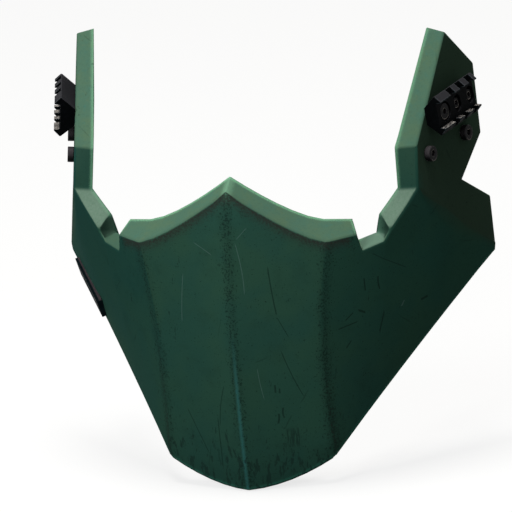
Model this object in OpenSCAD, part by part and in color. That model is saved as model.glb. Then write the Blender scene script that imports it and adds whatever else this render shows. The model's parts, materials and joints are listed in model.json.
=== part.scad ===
// Helmet mandible guard, in millimetres.
// +X is the wearer's left, +Y the wearer's back, +Z up. The origin lies midway between the two
// pairs of clamp screws, on the line of the helmet's side rails.

/* [Nose, keel and chin] */
// Drop of the nose peak below the clamp screws
nose_drop = 3.65; // [0:0.05:11]
// Reach of the nose peak ahead of the clamp screws
nose_reach = 72; // [64:0.1:80]
// How far the keel bows forward of a straight line
keel_bow = 7.1; // [2:0.1:12]
// Drop of the chin below the clamp screws
chin_drop = 167.5; // [155:0.5:185]
// Reach of the chin ahead of the clamp screws
chin_reach = 75.9; // [66:0.1:84]
// How sharply the rim falls from the nose peak before it flattens
rim_curve = 1.3; // [1.1:0.05:2]
// How sharply the chin's edge rises towards the creases
chin_curve = 1.87; // [1.2:0.01:2.5]

/* [Front creases] */
// Half the distance between the creases at the rim
crease_half = 51.3; // [44:0.1:58]
// Drop of the creases' upper ends below the clamp screws
crease_drop = 33.05; // [28:0.05:41]
// Reach of the creases' upper ends
crease_reach = 67.2; // [61:0.1:72]
// Half the distance between the creases at the chin
crease_foot_half = 44.9; // [36:0.1:50]
// Drop of the creases' lower ends below the clamp screws
crease_foot_drop = 153.35; // [140:0.05:160]
// Reach of the creases' lower ends
crease_foot_reach = 62.3; // [54:0.1:68]
// How far each crease bows in towards the middle
crease_waist = 4.2; // [0:0.1:8]
// How far each crease bows forward
crease_bow = 3; // [0:0.1:6]

/* [Rim notches] */
// Run of the raised centre rim past each crease
rim_end = 18.6; // [14:0.1:19.5]
// Setback of the notch's wall at its floor
notch_draft = 4; // [2:0.1:6]
// Depth of each notch below the centre rim
notch_depth = 9.6; // [5:0.1:14]
// Width of each notch's floor
notch_width = 12.8; // [8:0.1:15]
// Rise of the notch's floor towards the cheek
notch_rise = 2.9; // [0:0.1:5]
// Run of the step from the notch up to the cheek's rim
step_run = 3; // [2:0.1:5]
// Height of the step
step_rise = 5; // [2:0.1:8]

/* [Side panels] */
// Distance between the outer faces of the arms at the clamp screws
arm_span = 202.6; // [192:0.2:222]
// How far the side panels spread towards the back, in degrees
side_flare = 14.8; // [10:0.1:18]
// How far the side panels lean in towards the top, in degrees
side_lean = 6.3; // [3:0.1:9]
// Foot of the arm's front edge: reach ahead of the origin
foot_reach = 34.2; // [30:0.1:37]
// Foot of the arm's front edge: drop
foot_drop = 14.5; // [12:0.05:21]
// Elbow of the arm's front edge: reach
elbow_reach = 27.8; // [24:0.1:32]
// Elbow of the arm's front edge: rise
elbow_rise = 7.45; // [3:0.05:11]
// Front corner of the arm's tip: setback
tip_back = 18.8; // [12:0.1:27]
// Front corner of the arm's tip: rise
tip_rise = 55.75; // [47:0.05:63]
// Rear corner of the arm's tip: setback
tip_rear_back = 40.6; // [35:0.1:47]
// Rear corner of the arm's tip: rise
tip_rear_rise = 31.55; // [26:0.05:41]
// Lower end of the arm's rear edge: setback
heel_back = 35.3; // [31:0.1:41]
// Lower end of the arm's rear edge: drop
heel_drop = 5.45; // [1:0.05:11]
// Bottom of the V in the rear edge: setback
vee_back = 9.7; // [5:0.1:19]
// Bottom of the V in the rear edge: drop
vee_drop = 22.75; // [19:0.05:27]
// Upper corner of the rear lobe: setback
lobe_back = 32.7; // [27:0.1:39]
// Upper corner of the rear lobe: drop
lobe_drop = 38.65; // [34:0.05:45]
// Rear end of the cheek crease: setback
corner_back = 29; // [25:0.1:35]
// Rear end of the cheek crease: drop
corner_drop = 63.35; // [57:0.05:71]
// Run of the cheek over which it turns under the arm's foot
cheek_turn = 24; // [10:1:28]
// How far the lower edge bows up and inwards of a straight line
edge_bow = 1; // [0:0.1:3]
// Height of the short rear edge below the crease
corner_height = 4.7; // [3:0.1:8]

/* [Shell wall] */
// Wall of the moulded shell
wall = 10.2; // [9:0.1:12]
// Wall at the arm's tip
tip_wall = 8.9; // [7:0.1:11]
// Height at which the arms begin to thin
taper_from = 13; // [11.5:0.1:20]
// Width of the bevel on the arm's front edge
arm_bevel = 6.1; // [2:0.1:8]

/* [Accessory rails] */
// Length of each rail
rail_length = 39.5; // [34:0.5:44]
// Width of the rail across its lugs
rail_width = 21.2; // [20:0.1:22]
// Width of the rail's foot
rail_foot = 9.2; // [7:0.1:12]
// Height of the rail's widest edge
rail_shoulder = 7.2; // [6:0.1:8]
// Height of that edge's land
rail_land = 0.7; // [0.5:0.1:1.5]
// Bevel on the outside of the lugs
rail_bevel = 3; // [2:0.1:3.4]
// Width of the milled channel between the lugs
rail_channel = 13.4; // [11:0.1:14]
// Depth of that channel
rail_depth = 3.2; // [2.4:0.1:3.8]
// Width of each slot between the lugs
slot_width = 5.23; // [4.8:0.01:5.6]
// Pitch of the slots
slot_pitch = 10.01; // [9.5:0.01:10.5]
// Number of slots
slot_count = 3; // [1:1:3]
// Distance from the rail's front end to the first slot's middle
slot_first = 14.1; // [12:0.1:15.5]
// Height of the rail's middle above the clamp screws
rail_rise = 19.95; // [17:0.05:23]
// Setback of the rail's middle behind the clamp screws' middle
rail_back = 4.4; // [1:0.05:6]
// Tilt of the rail against the line of the clamp screws, rear end up, in degrees
rail_tilt = 2.5; // [0:0.5:5]
// Distance from the rail's front end to the first screw
rail_screw_first = 8.1; // [7:0.1:9]
// Pitch of the rail's three screws
rail_screw_pitch = 13.6; // [12:0.1:13.9]
// Diameter of the round counterbore at the front
bore_front = 10.4; // [9.5:0.1:11]
// Width of the two narrow counterbores
bore_rear = 6.2; // [5.9:0.1:6.8]
// Length of the two narrow counterbores across the rail
bore_rear_length = 9.2; // [7.5:0.1:10.5]
// Depth of the counterbores below the channel
bore_depth = 4; // [3.8:0.1:4.6]

/* [Rail screws] */
// Diameter of the front screw
screw_d = 5; // [4:0.1:5.2]
// Diameter of the front screw's head
screw_head_d = 8.5; // [7:0.1:9]
// Height of the front screw's head
screw_head_h = 3.5; // [3:0.1:3.8]
// Width across the flats of its socket
screw_key = 3; // [2.5:0.1:3.5]
// Diameter of the two rear screws
small_screw_d = 3; // [2.5:0.1:3.2]
// Diameter of the rear screws' heads
small_head_d = 5.5; // [5:0.1:5.7]
// Height of the rear screws' heads
small_head_h = 3; // [2.5:0.1:3.4]
// Width across the flats of their sockets
small_key = 2.5; // [2:0.1:2.6]
// Length of the rail screws under the head
rail_screw_length = 9; // [7:0.5:10]
// Height of the flank screws' countersunk heads
countersink_h = 1.6; // [1.4:0.1:1.8]
// Depth of the flank screws' sockets
flank_socket = 1.2; // [1:0.1:1.4]
// Wall of each threaded insert
insert_wall = 1.5; // [1:0.1:2]
// Length of each threaded insert
insert_length = 6.5; // [5:0.1:7]

/* [Clamp screws and nuts] */
// Distance between the two clamp screws of a side
clamp_spacing = 38.6; // [34:0.1:40]
// Diameter of the clamp screws
clamp_d = 5; // [4.8:0.1:5.2]
// Length of the clamp screws under the head
clamp_length = 10; // [9:0.1:10]
// Diameter of the clamp screws' heads
clamp_head_d = 8.2; // [8.1:0.1:9]
// Height of the clamp screws' heads
clamp_head_h = 3.3; // [2.8:0.1:4]
// Depth of the hexagon sockets
socket_depth = 2; // [1.5:0.1:2.4]
// Wall of the stepped sleeves in the arms
bush_wall = 1.4; // [1.2:0.1:1.6]
// Length of the pocket in each arm's inner face
pocket_length = 56; // [54:0.5:58]
// Width of the pocket
pocket_width = 15; // [14:0.1:16]
// Depth of the pocket
pocket_depth = 3.6; // [3.5:0.1:4]
// Radius of the pocket's corners
pocket_corner = 2; // [1:0.1:2.1]
// Thickness of the backing plate in the pocket
backing = 2; // [1.5:0.1:2]
// Length of the nuts' flanges
nut_length = 13; // [10:0.1:13]
// Thickness of the nuts' flanges
nut_flange = 1.5; // [1.2:0.1:1.5]
// Diameter of the nuts' barrels
barrel_d = 7.2; // [6.8:0.1:7.6]
// Length of the nuts' barrels
barrel_length = 5.2; // [4:0.1:5.6]

/* [Flank plate] */
// Length of the plate
plate_length = 38; // [32:0.5:42]
// Width of the plate
plate_width = 12; // [10:0.1:14]
// Thickness of the plate
plate_thickness = 3; // [2.5:0.1:3.5]
// Depth of the plate's seat in the shell
plate_seat = 1; // [0.8:0.1:1.2]
// Distance between the plate's screws
plate_screws = 24; // [18:0.5:26]
// Distance of the plate's middle from the shell's lower edge
plate_inset = 8.2; // [7.5:0.1:10]
// Distance of the plate's middle from the rear corner, along the edge
plate_from_corner = 31; // [30:0.5:60]
// Tilt of the plate against the lower edge, in degrees
plate_tilt = 15; // [0:1:15]

/* [Pads] */
// Width of the chin pad
chin_pad_w = 66; // [50:1:76]
// Height of the chin pad
chin_pad_h = 42; // [30:1:50]
// Height of the chin pad's middle above the chin's edge
chin_pad_up = 42; // [34:1:60]
// Length of each jaw pad
jaw_pad_w = 58; // [44:1:66]
// Height of each jaw pad
jaw_pad_h = 34; // [26:1:40]
// Thickness of the pads at their edges
pad_edge = 7; // [5:0.5:9]
// How much the pads crown in the middle
pad_crown = 4; // [2:0.5:6]
// How far the hook patches lie inside the pads' edges
patch_margin = 5; // [3:0.5:8]
// Run of the jaw pads' middle from the front crease
jaw_pad_at = 56; // [50:1:62]
// Thickness of the hook patches
patch_thickness = 1.2; // [0.8:0.1:1.6]

/* [Clearances] */
// Radial clearance of the turning screws
running = 0.06; // [0.03:0.01:0.09]
// Clearance between fixed pieces that seat on each other
seat = 0.05; // [0.02:0.01:0.1]
// Gap round the nuts' flanges in the pocket
nut_play = 0.15; // [0.1:0.05:0.3]
// Gap between a barrel's end and the step in its sleeve
barrel_play = 0.4; // [0.3:0.1:0.8]
// Play of the screws in plain clearance holes, on the diameter
hole_play = 0.4; // [0.2:0.1:0.6]
// Gap that the hook patches' glue fills
glue_gap = 0.6; // [0.5:0.05:0.8]
// Gap between a soft pad and its patch
soft_gap = 0.3; // [0.3:0.05:0.5]

/* [Hidden] */
$fn = 48;
eps = 0.01;
// How far a blind bore runs past its insert, and the flank plate's shorter inserts.
bore_spare = 1;
flank_insert = insert_length - bore_spare;
// How far cutters run past the face they cut.
through = 3;

green = "#24483a";
black = "#26272a";
steel = "#3c3e42";
brass = "#b08d4a";
foam = "#2b2d2c";
hook = "#17191a";

// Rim land of the shell: how far the inner corner of the rim lies from the outer one, as
// [towards the middle, back, up], at each corner of the rim.
nose_land = [0, 11, 4.9];
crease_land = [-4.6, 13, 8.9];
end_land = [-4.4, 8.9, 6.2];
notch_land = [-5.7, 5.4, 3.7];
kink_land = [-5.5, 6, 3.4];
step_land = [-6.9, 4.6, 8];
// Rise of the centre rim from the crease to its end.
end_rise = 0.5;
// Run of the short rear edge below the cheek crease.
corner_rake = [0.14, 0.05, 1];
// Exponent of the cheek's outward swell, and the share of its height over which the turn softens.
swell = 1.5;
turn_depth = 0.2;
// Way in which the straight lower edge bows: towards the middle and up.
bow_way = [-0.6, 0, 0.6];
// Inner edge of the arm: rise and bevel at its foot, lift at its elbow, bevel and rise at its tip.
foot_rise = 2.5;
foot_bevel = 4.1;
elbow_lift = 0.9;
tip_bevel = [2.2, 3.5];

// Grid of the shell: columns on each half of the front, from the step to the arm's foot, and along
// the cheek crease, and rows.
front_cols = 6;
foot_cols = 3;
crease_cols = 6;
rows = 10;
land_rows = 2;

function unit(v) = v / norm(v);
function mix(a, b, t) = a + (b - a) * t;
function bow(t) = 4 * t * (1 - t);
function mitre(a, b) = (a + b) / (1 + a * b);

// The side panel is flat. It is drawn by setback y and height z, and lies in this plane.
side_k = tan(side_flare);
lean_k = tan(side_lean);
function side_pt(y, z) = [arm_span / 2 + y * side_k - z * lean_k, y, z];
out = unit([1, -side_k, lean_k]);
along = unit([side_k, 1, 0]);
up = cross(out, along);

arm_foot = side_pt(-foot_reach, -foot_drop);
elbow = side_pt(-elbow_reach, elbow_rise);
tip_front = side_pt(tip_back, tip_rise);
tip_rear = side_pt(tip_rear_back, tip_rear_rise);
heel = side_pt(heel_back, -heel_drop);
vee = side_pt(vee_back, -vee_drop);
lobe = side_pt(lobe_back, -lobe_drop);
corner = side_pt(corner_back, -corner_drop);
corner_low = corner - corner_height * corner_rake;
function at_height(a, b, z) = mix(a, b, (z - a.z) / (b.z - a.z));
taper_front = at_height(elbow, tip_front, taper_from);
taper_rear = at_height(heel, tip_rear, taper_from);

// Front panels: a patch between the keel and the crease, with its own rim and chin curves.
keel_lean = 0.2;
crease_top = [crease_half, -crease_reach, -crease_drop];
crease_foot = [crease_foot_half, -crease_foot_reach, -crease_foot_drop];
function keel(v) = [0, -mix(nose_reach, chin_reach, v) - keel_bow * bow(v), -mix(nose_drop, chin_drop, v)];
function crease(v) = mix(crease_top, crease_foot, v) - [crease_waist, crease_bow, 0] * bow(v);
function rim_sag(u) = (1 - pow(1 - u, rim_curve) - u) * (crease_drop - nose_drop);
function chin_sag(u) = (u - pow(u, chin_curve)) * (chin_drop - crease_foot_drop);
function front(u, v) = mix(keel(v), crease(v), u)
    - [0, keel_lean, 1] * rim_sag(u) * pow(1 - v, 2)
    - [0, 0, chin_sag(u)] * pow(v, 2);

// Cheek: ribs in one surface, from its top line down to the straight lower edge. The top line runs
// straight from the front crease to the arm's foot, then along the cheek crease to the corner, and
// turns ever more softly further down. Each rib stands at a distance along that line.
notch_start = rim_end + notch_draft;
rim_z = -crease_drop + end_rise;
floor_z = rim_z - notch_depth;
function run_to(p) = norm([p.x - crease_top.x, p.y - crease_top.y]);
step_at = notch_start + notch_width + step_run;
step_z = floor_z + notch_rise + step_rise;
rim_stops = [
    [rim_end, rim_z], [notch_start, floor_z], [notch_start + notch_width, floor_z + notch_rise],
    for (k = [0:foot_cols - 1]) [
        mix(step_at, run_to(arm_foot), k / foot_cols), mix(step_z, arm_foot.z, k / foot_cols)]
];
foot_at = norm(arm_foot - crease_top);
crease_length = norm(corner - arm_foot);
function top_line(s) = s < foot_at ? mix(crease_top, arm_foot, s / foot_at)
    : mix(arm_foot, corner, (s - foot_at) / crease_length);
function soft_line(s, turn) = mix(top_line(s - turn), top_line(s + turn), 0.5);
ribs = [
    for (r = rim_stops) r[0] * foot_at / run_to(arm_foot),
    for (k = [0:crease_cols]) foot_at + crease_length * k / crease_cols
];
foot_col = front_cols + len(rim_stops) + 1;
cols = front_cols + len(ribs);
function share(s) = run_to(top_line(s)) / run_to(corner);
function low_pt(s) = mix(crease_foot, corner_low, share(s)) + edge_bow * bow(share(s)) * bow_way;
function cheek(s, v) =
    let (
        p = soft_line(s, cheek_turn * min(1, v / turn_depth)),
        fall = low_pt(s) - p,
        fade = pow(1 - share(s), 2)
    )
    p + fall * v + [fall.x, fall.y, 0] * (pow(v, swell) - v) * (1 - fade)
    - [crease_waist, crease_bow, 0] * bow(v) * fade;
function first_v(k) = k < len(rim_stops)
    ? (top_line(ribs[k]).z - rim_stops[k][1]) / (top_line(ribs[k]).z - low_pt(ribs[k]).z) : 0;

function outer_pt(j, i) = j <= front_cols ? front(j / front_cols, i / rows)
    : let (k = j - front_cols - 1) cheek(ribs[k], mix(first_v(k), 1, i / rows));
outer = [for (j = [0:cols]) [for (i = [0:rows]) outer_pt(j, i)]];

function mirrored(p) = [-p.x, p.y, p.z];
function grid(j, i) = j < 0 ? mirrored(outer[-j][i]) : outer[min(j, cols)][i];
function grid_normal(j, i) = unit(cross(
    grid(j, min(i + 1, rows)) - grid(j, max(i - 1, 0)),
    grid(min(j + 1, cols), i) - grid(j - 1, i)));
foot_land = -wall * out - foot_bevel * along + foot_rise * up;
lands = [
    for (j = [0:front_cols]) mix(nose_land, crease_land, j / front_cols),
    end_land, notch_land, kink_land,
    for (k = [0:foot_cols]) mix(step_land, foot_land, k / foot_cols)
];
function below(j) = unit(cross(grid(j, 1) - grid(j, 0), grid(min(j + 1, cols), 0) - grid(j - 1, 0)));
corner_land = -wall * mitre(out, below(cols));
function to_inner(j, i) = j == cols ? corner_land : j > foot_col
    ? -wall * mix(grid_normal(j, i), mitre(out, below(j)), 1 - i / rows)
    : let (w = max(0, 1 - i / land_rows)) lands[j] * w - wall * grid_normal(j, i) * (1 - w);
inner = [for (j = [0:cols]) [for (i = [0:rows]) outer[j][i] + to_inner(j, i)]];

// Outline of the side panel above the cheek crease, with its inner corners.
side_outer = [elbow, taper_front, tip_front, tip_rear, taper_rear, heel, vee, lobe];
side_inner = [
    elbow - wall * out - arm_bevel * along + elbow_lift * up, taper_front - wall * out - arm_bevel * along,
    tip_front - tip_wall * out - tip_bevel[0] * along + tip_bevel[1] * up, tip_rear - tip_wall * out,
    for (p = [taper_rear, heel, vee, lobe]) p - wall * out
];

// Points of the left half, outer then inner, and the triangles between them.
grid_count = (cols + 1) * (rows + 1);
half_count = grid_count + len(side_outer);
half_outer = concat([for (c = outer) each c], side_outer);
half_inner = concat([for (c = inner) each c], side_inner);
function id(j, i) = j * (rows + 1) + i;
s_elbow = grid_count;
s_taper_front = grid_count + 1;
s_tip_front = grid_count + 2;
s_tip_rear = grid_count + 3;
s_taper_rear = grid_count + 4;
s_heel = grid_count + 5;
s_vee = grid_count + 6;
s_lobe = grid_count + 7;
skin = concat(
    [for (j = [0:cols - 1]) for (i = [0:rows - 1]) each [
        [id(j, i), id(j + 1, i), id(j + 1, i + 1)], [id(j, i), id(j + 1, i + 1), id(j, i + 1)]]],
    [for (k = [0:crease_cols - 2]) [id(foot_col + k, 0), s_vee, id(foot_col + k + 1, 0)]],
    [
        [id(cols - 1, 0), s_vee, s_lobe], [id(cols - 1, 0), s_lobe, id(cols, 0)],
        [id(foot_col, 0), s_elbow, s_vee], [s_elbow, s_heel, s_vee],
        [s_elbow, s_taper_front, s_heel], [s_taper_front, s_taper_rear, s_heel],
        [s_taper_front, s_tip_front, s_taper_rear], [s_tip_front, s_tip_rear, s_taper_rear]
    ]);
edge = concat(
    [for (j = [0:foot_col]) id(j, 0)],
    [s_elbow, s_taper_front, s_tip_front, s_tip_rear, s_taper_rear, s_heel, s_vee, s_lobe],
    [for (i = [0:rows]) id(cols, i)],
    [for (j = [1:cols]) id(cols - j, rows)]);
// The face under the step from the notch is folded the other way across.
step_fold = front_cols + len(rim_stops) - foot_cols;
half_faces = concat(
    skin,
    [for (f = skin) [f[0], f[2], f[1]] + half_count * [1, 1, 1]],
    [for (k = [0:len(edge) - 2]) let (a = edge[k], b = edge[k + 1]) each k == step_fold
        ? [[a, a + half_count, b], [a + half_count, b + half_count, b]]
        : [[a, a + half_count, b + half_count], [a, b + half_count, b]]]);
half_points = concat(half_outer, half_inner);
function far_id(k) = half_points[k].x == 0 ? k : k + len(half_points);
shell_points = concat(half_points, [for (p = half_points) mirrored(p)]);
shell_faces = concat(half_faces, [for (f = half_faces) [far_id(f[0]), far_id(f[2]), far_id(f[1])]]);

// Sets its children on the outer face of the left arm: X runs back, Y up and Z outward.
module on_arm(back, rise) {
    o = side_pt(0, 0) + along * back + up * rise;
    multmatrix([
        [along.x, up.x, out.x, o.x],
        [along.y, up.y, out.y, o.y],
        [along.z, up.z, out.z, o.z]
    ]) children();
}

module on_side(side) {
    mirror([side < 0 ? 1 : 0, 0, 0]) children();
}

clamp_at = [-clamp_spacing / 2, clamp_spacing / 2];
rail_screw_at = [for (k = [0:2]) rail_screw_first + k * rail_screw_pitch];
rail_top = rail_shoulder + rail_land + rail_bevel;
rail_floor = rail_top - rail_depth;
bore_floor = rail_floor - bore_depth;
channel_draft = 0.3;
insert_r = [screw_d / 2 + insert_wall, small_screw_d / 2 + insert_wall, small_screw_d / 2 + insert_wall];

// Depths below the arm's outer face: pocket floor, face of the backing plate, end of the barrels,
// step of the sleeves' bore and of their outside.
pocket_floor = wall - pocket_depth;
plate_face = pocket_floor + backing;
barrel_end = plate_face + seat - barrel_length;
bore_step = barrel_end - barrel_play;
sleeve_step = bore_step * 0.6;
neck_r = clamp_d / 2 + running + bush_wall;
sleeve_r = barrel_d / 2 + running + bush_wall;

// Sets its children on the arm under the rail, with the rail's front end at X = 0.
module on_rail() {
    on_arm(rail_back, rail_rise) rotate([0, 0, rail_tilt]) translate([-rail_length / 2, 0, 0]) children();
}

// Seat of the flank plate on the wearer's right cheek, given here for the left half.
plate_edge = unit(corner_low - crease_foot);
plate_share = 1 - plate_from_corner / norm(corner_low - crease_foot);
plate_col = lookup(plate_share, [for (k = [0:len(ribs) - 1]) [share(ribs[k]), front_cols + 1 + k]]);
plate_low = mix(grid(floor(plate_col), rows), grid(floor(plate_col) + 1, rows), plate_col % 1);
plate_near = mix(grid(floor(plate_col), rows - 1), grid(floor(plate_col) + 1, rows - 1), plate_col % 1);
plate_out = unit(cross(plate_edge, plate_near - plate_low));
plate_up = cross(plate_out, plate_edge);

module on_flank() {
    o = plate_low + plate_up * plate_inset;
    mirror([1, 0, 0])
    multmatrix([
        [plate_edge.x, plate_up.x, plate_out.x, o.x],
        [plate_edge.y, plate_up.y, plate_out.y, o.y],
        [plate_edge.z, plate_up.z, plate_out.z, o.z]
    ]) rotate([0, 0, -plate_tilt]) translate([0, 0, -plate_seat]) children();
}

module pocket_shape(inset, h) {
    r = pocket_corner - inset;
    half = [pocket_length / 2 - pocket_corner, pocket_width / 2 - pocket_corner];
    linear_extrude(h) {
        square([2 * half[0] + 2 * r, 2 * half[1]], center = true);
        square([2 * half[0], 2 * half[1] + 2 * r], center = true);
        for (x = [-1, 1] * half[0]) for (y = [-1, 1] * half[1]) translate([x, y]) circle(r);
    }
}

module guard_shell() {
    color(green)
    difference() {
        polyhedron(shell_points, shell_faces);
        for (side = [-1, 1]) on_side(side) {
            on_arm(0, 0) translate([0, 0, -wall - through]) pocket_shape(0, pocket_depth + through);
            for (a = clamp_at) on_arm(a, 0) {
                translate([0, 0, -wall]) cylinder(r = neck_r + seat, h = wall + through);
                translate([0, 0, -wall]) cylinder(r = sleeve_r + seat, h = wall - sleeve_step);
            }
            for (k = [0:2]) on_rail() translate([rail_screw_at[k], 0, -insert_length - bore_spare])
                cylinder(r = insert_r[k] + seat, h = insert_length + bore_spare + through);
        }
        on_flank() {
            translate([-plate_length / 2 - seat, -plate_width / 2 - seat, -seat])
                cube([plate_length + 2 * seat, plate_width + 2 * seat, 2 * plate_thickness]);
            for (x = [-1, 1] * plate_screws / 2) translate([x, 0, -insert_length])
                cylinder(r = insert_r[1] + seat, h = flank_insert + bore_spare + through);
        }
    }
}

module rail_section() {
    half = rail_width / 2;
    inside = rail_channel / 2;
    polygon([
        [-rail_foot / 2, seat], [rail_foot / 2, seat], [half, rail_shoulder],
        [half, rail_shoulder + rail_land], [half - rail_bevel, rail_top],
        [inside + channel_draft, rail_top], [inside, rail_floor],
        [-inside, rail_floor], [-inside - channel_draft, rail_top],
        [-half + rail_bevel, rail_top], [-half, rail_shoulder + rail_land], [-half, rail_shoulder]
    ]);
}

module slotted(length, width, h) {
    linear_extrude(h) {
        square([width, length - width], center = true);
        for (y = [-1, 1] * (length - width) / 2) translate([0, y]) circle(d = width);
    }
}

module accessory_rail(side) {
    color(black)
    on_side(side) on_rail()
    difference() {
        rotate([90, 0, 90]) linear_extrude(rail_length) rail_section();
        for (k = [0:slot_count - 1])
            translate([slot_first + k * slot_pitch - slot_width / 2, -rail_width, rail_floor])
                cube([slot_width, 2 * rail_width, rail_depth + 1]);
        translate([rail_screw_at[0], 0, bore_floor]) cylinder(d = bore_front, h = rail_top);
        for (k = [1, 2]) translate([rail_screw_at[k], 0, bore_floor])
            slotted(bore_rear_length, bore_rear, rail_top);
        for (k = [0:2]) translate([rail_screw_at[k], 0, -1])
            cylinder(d = (k == 0 ? screw_d : small_screw_d) + hole_play, h = rail_top);
    }
}

module socket_screw(d, length, head_d, head_h, key) {
    difference() {
        union() {
            translate([0, 0, -length]) cylinder(d = d, h = length + eps);
            cylinder(d = head_d, h = head_h);
        }
        translate([0, 0, head_h - socket_depth])
            cylinder(d = key / cos(30), h = socket_depth + 1, $fn = 6);
    }
}

module rail_screws(side) {
    color(steel)
    on_side(side)
    for (k = [0:2]) on_rail() translate([rail_screw_at[k], 0, bore_floor + seat])
        if (k == 0) socket_screw(screw_d, rail_screw_length, screw_head_d, screw_head_h, screw_key);
        else socket_screw(small_screw_d, rail_screw_length, small_head_d, small_head_h, small_key);
}

module threaded_insert(r, length) {
    translate([0, 0, -length - seat])
    difference() {
        cylinder(r = r, h = length);
        translate([0, 0, -through]) cylinder(r = r - insert_wall + seat, h = length + 2 * through);
    }
}

module rail_inserts(side) {
    color(brass)
    on_side(side)
    for (k = [0:2]) on_rail() translate([rail_screw_at[k], 0, 0])
        threaded_insert(insert_r[k], insert_length);
}

module arm_bushes(side) {
    color(brass)
    on_side(side)
    for (a = clamp_at) on_arm(a, 0)
        difference() {
            union() {
                translate([0, 0, -pocket_floor]) cylinder(r = neck_r, h = pocket_floor - seat);
                translate([0, 0, -pocket_floor])
                    cylinder(r = sleeve_r, h = pocket_floor - sleeve_step - seat);
            }
            translate([0, 0, -wall]) cylinder(r = clamp_d / 2 + running, h = wall + through);
            translate([0, 0, -wall]) cylinder(r = barrel_d / 2 + running, h = wall - bore_step);
        }
}

module backing_plate(side) {
    color(steel)
    on_side(side) on_arm(0, 0)
    difference() {
        translate([0, 0, -plate_face]) pocket_shape(seat, backing - seat);
        for (a = clamp_at) translate([a, 0, -wall])
            cylinder(r = barrel_d / 2 + running, h = wall);
    }
}

module clamp_screw(side, a) {
    color(steel)
    on_side(side) on_arm(a, 0) translate([0, 0, seat])
        socket_screw(clamp_d, clamp_length, clamp_head_d, clamp_head_h, screw_key);
}

module clamp_nut(side, a) {
    color(steel)
    on_side(side) on_arm(a, 0)
    difference() {
        union() {
            translate([-nut_length / 2, -pocket_width / 2 + nut_play, -plate_face - seat - nut_flange])
                cube([nut_length, pocket_width - 2 * nut_play, nut_flange]);
            translate([0, 0, -plate_face - seat - eps]) cylinder(d = barrel_d, h = barrel_length + eps);
        }
        translate([0, 0, -wall - through]) cylinder(r = clamp_d / 2 + running, h = wall + through);
    }
}

module flank_plate() {
    color(black)
    on_flank()
    difference() {
        translate([-plate_length / 2, -plate_width / 2, 0])
            cube([plate_length, plate_width, plate_thickness]);
        for (x = [-1, 1] * plate_screws / 2) translate([x, 0, 0]) {
            translate([0, 0, -through])
                cylinder(d = small_screw_d + hole_play, h = plate_thickness + 2 * through);
            translate([0, 0, plate_thickness - countersink_h])
                cylinder(h = countersink_h + eps,
                    d1 = small_screw_d + hole_play, d2 = small_head_d + hole_play);
        }
    }
}

module flank_screws() {
    color(steel)
    on_flank()
    for (x = [-1, 1] * plate_screws / 2) translate([x, 0, 0]) difference() {
        union() {
            translate([0, 0, -flank_insert])
                cylinder(d = small_screw_d, h = flank_insert + plate_thickness - countersink_h + eps);
            translate([0, 0, plate_thickness - countersink_h])
                cylinder(d1 = small_screw_d, d2 = small_head_d, h = countersink_h);
        }
        translate([0, 0, plate_thickness - flank_socket])
            cylinder(d = small_key / cos(30), h = 2 * flank_socket, $fn = 6);
    }
}

module flank_inserts() {
    color(brass)
    on_flank()
    for (x = [-1, 1] * plate_screws / 2) translate([x, 0, 0])
        threaded_insert(insert_r[1], flank_insert);
}

// A point at height h over the shell's inner face, at a fractional column and row of the grid.
function clampd(x, lo, hi) = min(max(x, lo), hi);
function bilerp(f, c, r) = let (a = floor(c), b = clampd(floor(r), 0, rows - 1))
    mix(mix(f(a, b), f(a + 1, b), c - a), mix(f(a, b + 1), f(a + 1, b + 1), c - a), r - b);
function inner_at(j, i) = j < 0 ? mirrored(inner[-j][i]) : inner[j][i];
function normal_at(j, i) = j < 0 ? mirrored(grid_normal(-j, i)) : grid_normal(j, i);
function over(at, h) = bilerp(function (j, i) inner_at(j, i), at[0], at[1])
    - h * unit(bilerp(function (j, i) normal_at(j, i), at[0], at[1]));

// A cushion over the inner face: rings run from the middle of its back, round its drawn-in side
// and over its crown. Each entry is [share of the outline, share of the height].
pad_turn = 40;
function squarish(a) = [sign(cos(a)) * pow(abs(cos(a)), 0.5), sign(sin(a)) * pow(abs(sin(a)), 0.5)];
function cushion_rings() = [
    [0.5, 0, 0], [0.94, 0, 0], [0.985, 0.3, 0], [1, 0.62, 0], [0.95, 0.94, 0.1],
    [0.82, 1, 0.42], [0.62, 1, 0.72], [0.32, 1, 0.94]
];
function sheet_rings() = [[0.5, 0, 0], [1, 0, 0], [1, 1, 0], [0.5, 1, 0]];

module over_shell(place, half, rings, lift, height, crown) {
    n = pad_turn;
    middle = place(0, 0);
    pts = concat(
        [over(middle, lift)],
        [for (g = rings) for (k = [0:n - 1]) let (s = squarish(360 * k / n) * g[0])
            over(place(half[0] * s[0], half[1] * s[1]), lift + height * g[1] + crown * g[2])],
        [over(middle, lift + height + crown)]);
    last = len(pts) - 1;
    faces = concat(
        [for (k = [0:n - 1]) [0, 1 + k, 1 + (k + 1) % n]],
        [for (g = [0:len(rings) - 2]) for (k = [0:n - 1]) let (a = 1 + g * n, b = a + n, m = (k + 1) % n)
            each [[a + k, b + k, b + m], [a + k, b + m, a + m]]],
        [for (k = [0:n - 1]) let (a = 1 + (len(rings) - 1) * n) [a + k, last, a + (k + 1) % n]]);
    polyhedron(pts, faces);
}

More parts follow.
